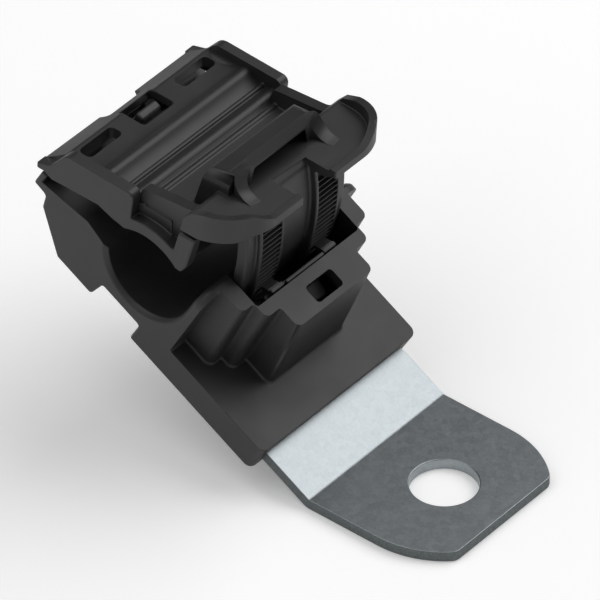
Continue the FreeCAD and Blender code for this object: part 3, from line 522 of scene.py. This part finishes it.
@dataclass(frozen=True)
class ProductCamera:
    """Long lens at the photograph's angle, set by where the bolt hole is in the frame."""

    name: str = "product_camera"
    turn_deg: float = 50.5
    rise_deg: float = 39.72
    pixels_per_mm: float = 8.353
    frame_pixels: float = 600.0
    hole_pixel: tuple[float, float] = (443.5, 481.6)
    hole_mm: tuple[float, float, float] = (0.0, 0.0, 1.5)
    distance_mm: float = 1500.0
    sensor_mm: float = 36.0
    middle_depth_mm: float = -8.0
    nearest: float = 0.05
    farthest: float = 20.0

    def place(self) -> None:
        """Create the camera and make it the scene's own."""
        turn, rise = radians(self.turn_deg), radians(self.rise_deg)
        right = Vector((cos(turn), -sin(turn), 0))
        up = Vector((sin(turn) * sin(rise), cos(turn) * sin(rise), cos(rise)))
        back = right.cross(up)
        half = self.frame_pixels / 2
        aim = Vector(self.hole_mm)
        aim += right * ((half - self.hole_pixel[0]) / self.pixels_per_mm)
        aim += up * ((self.hole_pixel[1] - half) / self.pixels_per_mm)
        aim += back * self.middle_depth_mm
        data = bpy.data.cameras.new(self.name)
        data.sensor_width = self.sensor_mm
        data.lens = self.sensor_mm * self.distance_mm / (self.frame_pixels / self.pixels_per_mm)
        data.clip_start = self.nearest
        data.clip_end = self.farthest
        camera = new_object(self.name, data)
        stand = Matrix.Translation((aim + back * self.distance_mm) * MM)
        camera.matrix_world = stand @ Matrix((right, up, back)).transposed().to_4x4()
        bpy.context.scene.camera = camera


@dataclass(frozen=True)
class Studio:
    """Floor, dark card, sky and lamps, in metres."""

    floor_size: float = 6.0
    floor_drop: float = 0.00002
    sky_level: float = 0.26
    # The flat end of the plate mirrors the card.
    card_direction: tuple[float, float, float] = (0.594, 0.489, 0.639)
    card_distance: float = 1.0
    card_half_size: tuple[float, float] = (0.46, 0.42)
    lamps: tuple[SoftBox, ...] = (
        SoftBox("right_softbox", (0.594, -0.17, 0.785), 5.5, 1.0, 0.75, 0.9),
        SoftBox("left_softbox", (-1.0, 0.1, 0.6), 0.7, 0.6, 0.6, 1.0),
        SoftBox("top_softbox", (-0.35, 0.35, 1.0), 2.8, 0.9, 0.9, 1.0),
    )

    def build_floor(self) -> None:
        """Lay the paper under the clip."""
        half = self.floor_size / 2
        corners = [Vector((x, y, -self.floor_drop)) for x, y in (
            (-half, -half), (half, -half), (half, half), (-half, half))]
        floor = flat_panel("paper_floor", corners, StudioPaper().make())
        floor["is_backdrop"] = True

    def build_card(self) -> None:
        """Hang the dark card, facing the world's origin."""
        aim = Vector(self.card_direction).normalized()
        across = aim.cross(Vector((0, 0, 1))).normalized()
        upward = across.cross(aim)
        wide, tall = self.card_half_size
        corners = [aim * self.card_distance + across * (x * wide) + upward * (y * tall)
                   for x, y in ((-1, -1), (1, -1), (1, 1), (-1, 1))]
        card = flat_panel("dark_card", corners, BlackFelt().make())
        card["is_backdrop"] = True

    def build_sky(self) -> None:
        """Set a plain sky that the camera sees as white and that lights the clip less."""
        world = bpy.data.worlds.new("studio_sky")
        bpy.context.scene.world = world
        world.use_nodes = True
        tree = world.node_tree
        tree.nodes.clear()
        ray = add_node(tree, "ShaderNodeLightPath")
        level = add_node(tree, "ShaderNodeMapRange", sockets={
            "Value": ray.outputs["Is Camera Ray"], "To Min": self.sky_level, "To Max": 1.0})
        sky = add_node(tree, "ShaderNodeBackground", sockets={
            "Color": (1.0, 1.0, 1.0, 1.0), "Strength": level.outputs["Result"]})
        add_node(tree, "ShaderNodeOutputWorld", sockets={
            "Surface": sky.outputs["Background"]})

    def build(self, target: Vector) -> None:
        """Set the whole studio up.

        Args:
            target: The point that the lamps face, in metres.
        """
        self.build_floor()
        self.build_card()
        self.build_sky()
        for lamp in self.lamps:
            lamp.place(target)
        bpy.context.scene.view_settings.view_transform = "Standard"


def gap_between(one: bmesh.types.BMEdge, other: bmesh.types.BMEdge,
                samples: int = 4) -> float:
    """Measure how near two edges come.

    Args:
        one: An edge.
        other: Another edge.
        samples: Steps along each of them.

    Returns:
        The smallest distance found, in metres.
    """
    nearest = float("inf")
    for near, far in ((one, other), (other, one)):
        start, along = far.verts[0].co, far.verts[1].co - far.verts[0].co
        for step in range(samples + 1):
            spot = near.verts[0].co.lerp(near.verts[1].co, step / samples)
            share = (spot - start).dot(along) / max(along.length_squared, LEAST_SQUARE)
            foot = start + along * min(1.0, max(0.0, share))
            nearest = min(nearest, (spot - foot).length)
    return nearest


def cut_away(solid: bmesh.types.BMesh, block: bmesh.types.BMesh) -> bmesh.types.BMesh:
    """Take a block's space out of a solid.

    Args:
        solid: The closed mesh to cut, which is freed.
        block: The closed mesh of the space, which is freed.

    Returns:
        What is left of the solid.
    """
    uncut = mesh_object("uncut", solid)
    space = mesh_object("space", block)
    run_modifier(uncut, "BOOLEAN", {
        "operation": "DIFFERENCE", "solver": "EXACT", "object": space})
    remove_object(space)
    left = reopen(uncut)
    bmesh.ops.remove_doubles(left, verts=left.verts, dist=WELD_MM * MM)
    return left


def add_prism(mesh: bmesh.types.BMesh, start: list[Vector], end: list[Vector]) -> None:
    """Add a closed prism.

    Args:
        mesh: The working mesh that takes the prism.
        start: Corners of one end in turn, in metres.
        end: Corners of the other end, in the same turn.
    """
    near, far = ([mesh.verts.new(corner) for corner in corners] for corners in (start, end))
    mesh.faces.new(near)
    mesh.faces.new(far)
    for number in range(len(near)):
        ahead = (number + 1) % len(near)
        mesh.faces.new((near[number], near[ahead], far[ahead], far[number]))


def settle_normals(piece: bpy.types.Object, sharp_deg: float) -> None:
    """Shade a piece smooth at its rounded edges and flat on its flat faces.

    Args:
        piece: The piece.
        sharp_deg: Angle above which an edge stays sharp.
    """
    piece.data.shade_smooth()
    piece.data.set_sharp_from_angle(angle=radians(sharp_deg))
    run_modifier(piece, "WEIGHTED_NORMAL", {
        "mode": "FACE_AREA", "weight": 100, "keep_sharp": True})


def dress(piece: bpy.types.Object, *materials: bpy.types.Material) -> None:
    """Give a piece its finishes in place of what it has.

    Args:
        piece: The piece.
        materials: The finishes.
    """
    piece.data.materials.clear()
    for material in materials:
        piece.data.materials.append(material)
    LOG.info("%s: %d faces in %s", piece.name, len(piece.data.polygons),
             " and ".join(material.name for material in materials))


@dataclass
class RoundedSolid:
    """A solid of the clip whose sharp edges get the radius that its mould or die leaves."""

    piece: ClipPiece
    slot: str
    radius_mm: float
    # Spaces to take out of the solid first.
    clearing: list[bmesh.types.BMesh] = field(default_factory=list)
    # Neighbouring triangles within this angle are one flat side.
    flat_deg: float = 1.0
    sharp_deg: float = 32.0
    # Edges that turn by less than this where they meet are one run.
    chain_deg: float = 35.0
    # A radius takes at most this share of the free width beside its run of edges.
    share_of_room: float = 0.36
    # A run that has room for less than this share of the radius stays sharp.
    least_share: float = 0.093
    steps: int = 3

    def merged(self, node: bpy.types.Object) -> bmesh.types.BMesh:
        """Join the node's loose triangles and melt flat ones together.

        Args:
            node: The CAD node.

        Returns:
            A closed mesh with one face for each flat side.
        """
        mesh = bmesh.new()
        mesh.from_mesh(node.data)
        bmesh.ops.remove_doubles(mesh, verts=mesh.verts, dist=WELD_MM * MM)
        for block in self.clearing:
            mesh = cut_away(mesh, block)
        bmesh.ops.dissolve_limit(mesh, angle_limit=radians(self.flat_deg), verts=mesh.verts,
                                 edges=mesh.edges, use_dissolve_boundaries=False)
        return mesh

    def chains(self, sharp: list[bmesh.types.BMEdge]) -> dict[bmesh.types.BMEdge, int]:
        """Number the runs of sharp edges that go on smoothly into each other.

        Args:
            sharp: The sharp edges.

        Returns:
            The number of the run that each edge belongs to.
        """
        members = set(sharp)
        turn = -cos(radians(self.chain_deg))
        numbers: dict[bmesh.types.BMEdge, int] = {}
        for number, seed in enumerate(sharp):
            waiting = [seed] if seed not in numbers else []
            while waiting:
                edge = waiting.pop()
                if edge in numbers:
                    continue
                numbers[edge] = number
                for corner in edge.verts:
                    ahead = (edge.other_vert(corner).co - corner.co).normalized()
                    waiting.extend(
                        other for other in corner.link_edges
                        if other in members and other not in numbers
                        and ahead.dot((other.other_vert(corner).co - corner.co).normalized())
                        < turn)
        return numbers

    def weigh(self, mesh: bmesh.types.BMesh) -> int:
        """Give each sharp edge the share of the radius that it has room for.

        Args:
            mesh: The merged mesh.

        Returns:
            How many edges get a radius.
        """
        weight = mesh.edges.layers.float.new("bevel_weight_edge")
        sharp = [edge for edge in mesh.edges
                 if edge.is_manifold and edge.calc_face_angle(0.0) > radians(self.sharp_deg)]
        numbers = self.chains(sharp)
        room: dict[int, float] = {}
        for edge in sharp:
            number = numbers[edge]
            for face in edge.link_faces:
                for other in face.edges:
                    if numbers.get(other) == number or set(other.verts) & set(edge.verts):
                        continue
                    room[number] = min(room.get(number, 1.0), gap_between(edge, other))
        rounded = 0
        for edge in sharp:
            share = min(1.0, room.get(numbers[edge], 1.0) * self.share_of_room
                        / (self.radius_mm * MM))
            if share >= self.least_share:
                edge[weight] = share
                rounded += 1
        return rounded

    def build(self, node: bpy.types.Object) -> bpy.types.Object:
        """Make the rounded piece and let it stand for its CAD node.

        Args:
            node: The CAD node.

        Returns:
            The finished piece.
        """
        merged = self.merged(node)
        rounded = self.weigh(merged)
        piece = mesh_object(f"{self.piece.value}_rounded", merged)
        run_modifier(piece, "BEVEL", {
            "limit_method": "WEIGHT", "width": self.radius_mm * MM, "segments": self.steps,
            "use_clamp_overlap": False, "miter_outer": "MITER_ARC"})
        settle_normals(piece, self.sharp_deg)
        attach(piece, body_of(node)[0])
        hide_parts(self.piece.value)
        LOG.info("%s: %d edges rounded", piece.name, rounded)
        return piece


@dataclass(frozen=True)
class AddedDetail:
    """A plastic detail that the solids leave out and that rides with its moulding."""

    name: str
    radius_mm: float
    sharp_deg: float = 40.0
    steps: int = 3

    def build(self, mesh: bmesh.types.BMesh, material: bpy.types.Material,
              owner: bpy.types.Object) -> None:
        """Turn a working mesh into the finished piece.

        Args:
            mesh: The closed mesh, which is freed.
            material: Its finish.
            owner: The CAD node that it moves with.
        """
        bmesh.ops.recalc_face_normals(mesh, faces=mesh.faces)
        piece = mesh_object(self.name, mesh)
        run_modifier(piece, "BEVEL", {
            "limit_method": "ANGLE", "angle_limit": radians(self.sharp_deg),
            "width": self.radius_mm * MM, "segments": self.steps})
        dress(piece, material)
        settle_normals(piece, self.sharp_deg)
        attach(piece, body_of(owner)[0])


@dataclass(frozen=True)
class LocalFrame:
    """A moulding's own axes: across, ahead of its origin, and up."""

    origin_mm: tuple[float, float]
    turn_deg: float
    ahead: float

    def point(self, across: float, along: float, up: float) -> Vector:
        """Turn own sizes into a place in the shared frame.

        Args:
            across: Distance from the middle plane, in millimetres.
            along: Distance ahead, in millimetres.
            up: Height, in millimetres.

        Returns:
            The place in metres.
        """
        turn = radians(self.turn_deg)
        along *= self.ahead
        return Vector((across, self.origin_mm[0] + along * cos(turn) - up * sin(turn),
                       self.origin_mm[1] + along * sin(turn) + up * cos(turn))) * MM


BASE_FRAME = LocalFrame(origin_mm=(10.5, 1.5), turn_deg=30.0, ahead=1.0)
JAW_FRAME = LocalFrame(origin_mm=(49.895, 31.866), turn_deg=3.5, ahead=-1.0)


def smooth_line(knots: list[Vector], steps: int) -> list[Vector]:
    """Run a smooth line through points.

    Args:
        knots: The points.
        steps: Pieces between one point and the next.

    Returns:
        The points of the smooth line.
    """
    line = []
    for number in range(len(knots) - 1):
        before = knots[max(0, number - 1)]
        start, end = knots[number], knots[number + 1]
        after = knots[min(len(knots) - 1, number + 2)]
        for step in range(steps):
            t = step / steps
            line.append(0.5 * (2 * start + (end - before) * t
                               + (2 * before - 5 * start + 4 * end - after) * t ** 2
                               + (3 * start - before - 3 * end + after) * t ** 3))
    return line + [knots[-1].copy()]


@dataclass(frozen=True)
class HangingWall:
    """Geometry Nodes tree that hangs a closed wall under a ribbon."""

    name: str = "hanging_wall"
    depth_name: str = "wall_depth"
    weld_mm: float = 0.001

    def build_tree(self) -> bpy.types.GeometryNodeTree:
        """Build the tree.

        Returns:
            The tree, with the wall's direction and material as inputs.
        """
        tree = bpy.data.node_groups.new(self.name, "GeometryNodeTree")
        for label, kind in (("Geometry", "Geometry"), ("Direction", "Vector"),
                            ("Material", "Material")):
            tree.interface.new_socket(label, in_out="INPUT", socket_type=f"NodeSocket{kind}")
        tree.interface.new_socket("Geometry", in_out="OUTPUT",
                                  socket_type="NodeSocketGeometry")
        given = add_node(tree, "NodeGroupInput")
        depth = add_node(tree, "GeometryNodeInputNamedAttribute", {"data_type": "FLOAT"}, {
            "Name": self.depth_name})
        drop = add_node(tree, "ShaderNodeVectorMath", {"operation": "SCALE"}, {
            "Vector": given.outputs["Direction"], "Scale": depth.outputs["Attribute"]})
        sides = add_node(tree, "GeometryNodeExtrudeMesh", {"mode": "FACES"}, {
            "Mesh": given.outputs["Geometry"], "Offset Scale": 0.0, "Individual": False})
        foot = add_node(tree, "GeometryNodeSetPosition", sockets={
            "Geometry": sides.outputs["Mesh"], "Selection": sides.outputs["Top"],
            "Offset": drop.outputs["Vector"]})
        both = add_node(tree, "GeometryNodeJoinGeometry")
        tree.links.new(foot.outputs["Geometry"], both.inputs["Geometry"])
        tree.links.new(given.outputs["Geometry"], both.inputs["Geometry"])
        closed = add_node(tree, "GeometryNodeMergeByDistance", sockets={
            "Geometry": both.outputs["Geometry"], "Distance": self.weld_mm * MM})
        plain = add_node(tree, "GeometryNodeRealizeInstances", sockets={
            "Geometry": closed.outputs["Geometry"]})
        dressed = add_node(tree, "GeometryNodeSetMaterial", sockets={
            "Geometry": plain.outputs["Geometry"], "Material": given.outputs["Material"]})
        add_node(tree, "NodeGroupOutput", sockets={"Geometry": dressed.outputs["Geometry"]})
        return tree

    def hang(self, ribbon: bmesh.types.BMesh, direction: Vector,
             material: bpy.types.Material) -> bmesh.types.BMesh:
        """Hang the wall under one ribbon.

        Args:
            ribbon: The wall's top, with its depth at each corner, which is freed.
            direction: The way down.
            material: The wall's finish.

        Returns:
            The closed wall.
        """
        holder = mesh_object(self.name, ribbon)
        tree = self.build_tree()
        modifier = holder.modifiers.new(self.name, "NODES")
        modifier.node_group = tree
        sockets = {item.name: item.identifier for item in tree.interface.items_tree
                   if item.in_out == "INPUT"}
        modifier[sockets["Direction"]] = tuple(direction)
        modifier[sockets["Material"]] = material
        keep_result(holder)
        return reopen(holder)


@dataclass(frozen=True)
class ClearSpace:
    """A space that the plain solid fills: outline seen from above, and its two heights."""

    plan_mm: tuple[tuple[float, float], ...]
    low_mm: float
    high_mm: float

    def block(self) -> bmesh.types.BMesh:
        """Make the space a closed prism.

        Returns:
            The prism in the jaw's place.
        """
        block = bmesh.new()
        floor, roof = ([JAW_FRAME.point(*corner, height) for corner in self.plan_mm]
                       for height in (self.low_mm, self.high_mm))
        add_prism(block, floor, roof)
        bmesh.ops.recalc_face_normals(block, faces=block.faces)
        return block


@dataclass(frozen=True)
class RimLoop:
    """The raised loop on the jaw's wings: a thin wall whose arms run down to their floor."""

    # Outer and inner edge of the loop's top: half width, distance ahead of the hinge, height.
    outer_mm: tuple[tuple[float, float, float], ...] = (
        (0.0, 23.15, 10.72), (3.0, 23.15, 10.72), (5.6, 23.15, 10.7), (6.6, 23.25, 10.45),
        (7.5, 23.38, 9.9), (8.0, 23.76, 8.87), (8.15, 24.5, 7.85), (8.2, 25.5, 7.2),
        (8.25, 26.6, 6.98))
    inner_mm: tuple[tuple[float, float, float], ...] = (
        (0.0, 24.02, 9.65), (3.0, 24.02, 9.65), (4.9, 24.02, 9.65), (5.46, 24.04, 9.5),
        (5.86, 23.98, 9.1), (6.15, 24.2, 8.2), (6.34, 24.87, 7.4), (6.45, 25.9, 7.02),
        (6.6, 26.8, 6.96))
    line_steps: int = 5
    foot_mm: float = 6.85
    # Across the middle the loop is a bar over a recess.
    bar_foot_mm: float = 9.2
    bar_half_mm: float = 5.3
    bar_end_mm: float = 6.2
    radius_mm: float = 0.16
    # Recess behind the bar: distance ahead of the hinge and height.
    recess_mm: tuple[tuple[float, float], ...] = (
        (22.0, 9.15), (22.35, 9.15), (22.35, 6.93), (23.6, 6.93), (23.6, 6.2), (22.0, 6.2))
    recess_half_mm: float = 7.2
    # The plain solid's loop is thicker, so its surplus is taken away.
    spaces: tuple[ClearSpace, ...] = (
        ClearSpace(((7.05, 23.22), (7.05, 23.52), (9.3, 23.52), (9.3, 28.2), (-9.3, 28.2),
                    (-9.3, 23.52), (-7.05, 23.52), (-7.05, 23.22)), 6.94, 11.6),
        ClearSpace(((9.3, 23.1), (9.3, 23.8), (-9.3, 23.8), (-9.3, 23.1)), 9.28, 11.6),
        ClearSpace(((6.4, 22.3), (6.4, 23.4), (-6.4, 23.4), (-6.4, 22.3)), 6.9, 9.0))

    def clearing(self) -> list[bmesh.types.BMesh]:
        """Make the blocks that clear the plain loop away."""
        return [space.block() for space in self.spaces]

    def edge_line(self, half: tuple[tuple[float, float, float], ...]) -> list[Vector]:
        """Run one edge of the loop's top from foot to foot.

        Args:
            half: Its points on one side, from the middle outwards.

        Returns:
            The smooth line in the jaw's own sizes.
        """
        knots = [Vector(point) for point in half]
        mirrored = [Vector((-point.x, point.y, point.z)) for point in knots[:0:-1]]
        return smooth_line(mirrored + knots, self.line_steps)

    def foot_at(self, across: float) -> float:
        """Find how low the wall reaches.

        Args:
            across: Distance from the middle plane, in millimetres.

        Returns:
            The height of the wall's foot: high under the bar, low at the arms.
        """
        share = (abs(across) - self.bar_half_mm) / (self.bar_end_mm - self.bar_half_mm)
        return self.bar_foot_mm + (self.foot_mm - self.bar_foot_mm) * min(1, max(0, share))

    def ribbon(self, depth_name: str) -> bmesh.types.BMesh:
        """Make the top of the loop's wall.

        Args:
            depth_name: Attribute that takes the wall's depth at each corner.

        Returns:
            The strip between the two edges.
        """
        ribbon = bmesh.new()
        depth = ribbon.verts.layers.float.new(depth_name)
        pairs = []
        for places in zip(self.edge_line(self.outer_mm), self.edge_line(self.inner_mm)):
            foot = self.foot_at(places[0].x)
            pairs.append([ribbon.verts.new(JAW_FRAME.point(*place)) for place in places])
            for corner, place in zip(pairs[-1], places):
                corner[depth] = (place.z - foot) * MM
        for one, other in zip(pairs, pairs[1:]):
            ribbon.faces.new((one[0], one[1], other[1], other[0]))
        return ribbon

    def build(self, node: bpy.types.Object, material: bpy.types.Material) -> None:
        """Make the loop and its recess.

        Args:
            node: The CAD node of the jaw.
            material: The mouldings' finish.
        """
        walls = HangingWall()
        down = (JAW_FRAME.point(0, 0, -1) - JAW_FRAME.point(0, 0, 0)).normalized()
        wall = walls.hang(self.ribbon(walls.depth_name), down, material)
        AddedDetail("rim_loop", self.radius_mm).build(wall, material, node)
        recess = bmesh.new()
        left, right = ([JAW_FRAME.point(side * self.recess_half_mm, *corner)
                        for corner in self.recess_mm] for side in (-1, 1))
        add_prism(recess, left, right)
        AddedDetail("rim_recess", self.radius_mm).build(recess, material, node)


@dataclass(frozen=True)
class CrownStrip:
    """One strip of the pawl's crown, between two arcs round the hinge, in millimetres."""

    start: float
    end: float
    top: float
    inner_radius: float
    outer_radius: float


@dataclass(frozen=True)
class PawlCrown:
    """The top of the pawl's blade, nearly level with the ratchet block."""

    hinge_mm: tuple[float, float] = (49.3, 6.6)
    low_mm: float = 12.0
    # The tops of the two teeth, with the middle strip between them.
    strips: tuple[CrownStrip, ...] = (
        CrownStrip(-5.95, -3.75, 13.35, 29.08, 29.68),
        CrownStrip(-3.45, 3.45, 13.6, 29.4, 29.84),
        CrownStrip(3.75, 5.95, 13.35, 29.08, 29.68))
    radius_mm: float = 0.1

    def outline(self, strip: CrownStrip) -> list[tuple[float, float]]:
        """Draw a strip from the side.

        Args:
            strip: The strip.

        Returns:
            Distance ahead and height of its corners, in millimetres.
        """
        reach, rise = self.hinge_mm
        corners = ((strip.inner_radius, self.low_mm), (strip.inner_radius, strip.top),
                   (strip.outer_radius, strip.top), (strip.outer_radius, self.low_mm))
        return [(reach - (radius ** 2 - (level - rise) ** 2) ** 0.5, level)
                for radius, level in corners]

    def build(self, node: bpy.types.Object, material: bpy.types.Material) -> None:
        """Make the crown.

        Args:
            node: The CAD node of the base.
            material: The mouldings' finish.
        """
        crown = bmesh.new()
        for strip in self.strips:
            left, right = ([BASE_FRAME.point(across, *corner)
                            for corner in self.outline(strip)]
                           for across in (strip.start, strip.end))
            add_prism(crown, left, right)
        AddedDetail("pawl_crown", self.radius_mm).build(crown, material, node)


@dataclass(frozen=True)
class PlasticMouldings:
    """The base moulding and the jaw moulding."""

    finish: MouldedPolyamide = MouldedPolyamide()
    loop: RimLoop = RimLoop()
    crown: PawlCrown = PawlCrown()
    radius_mm: float = 0.36

    def build(self, nodes: dict[str, bpy.types.Object]) -> None:
        """Round both mouldings, give them their finish and add their details.

        Args:
            nodes: The CAD nodes by name.
        """
        material = self.finish.make()
        for piece, clearing in ((ClipPiece.BASE, []), (ClipPiece.JAW, self.loop.clearing())):
            solid = RoundedSolid(piece, "black_polyamide", self.radius_mm, clearing)
            dress(solid.build(nodes[piece.value]), material)
        self.loop.build(nodes[ClipPiece.JAW.value], material)
        self.crown.build(nodes[ClipPiece.BASE.value], material)


@dataclass(frozen=True)
class FixingPlate:
    """The bent steel strip."""

    finish: GalvanisedSteel = GalvanisedSteel()
    cut_finish: ShearedSteelEdge = ShearedSteelEdge()
    # Shearing rolls the strip's edge over a little, and zinc rounds it further.
    radius_mm: float = 0.18
    # The bolt hole's wall is inside this radius and keeps the zinc.
    hole_zone_mm: float = 6.0
    # A cut face is upright: its normal rises by less than this.
    cut_face_rise: float = 0.4

    def build(self, nodes: dict[str, bpy.types.Object]) -> None:
        """Round the strip's edges and give it its finishes.

        Args:
            nodes: The CAD nodes by name.
        """
        solid = RoundedSolid(ClipPiece.PLATE, "galvanised_steel", self.radius_mm)
        strip = solid.build(nodes[ClipPiece.PLATE.value])
        dress(strip, self.finish.make(), self.cut_finish.make())
        for face in strip.data.polygons:
            beyond_hole = face.center.xy.length > self.hole_zone_mm * MM
            upright = abs(face.normal.z) < self.cut_face_rise
            face.material_index = int(beyond_hole and upright)


def main() -> None:
    """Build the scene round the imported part."""
    logging.basicConfig(level=logging.INFO)
    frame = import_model()
    cad_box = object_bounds()
    ProductCamera().place()
    low, high = cad_box
    Studio().build((Vector(low) + Vector(high)) / 2)
    FixingPlate().build(frame["nodes"])
    PlasticMouldings().build(frame["nodes"])


if __name__ == "__main__":
    main()
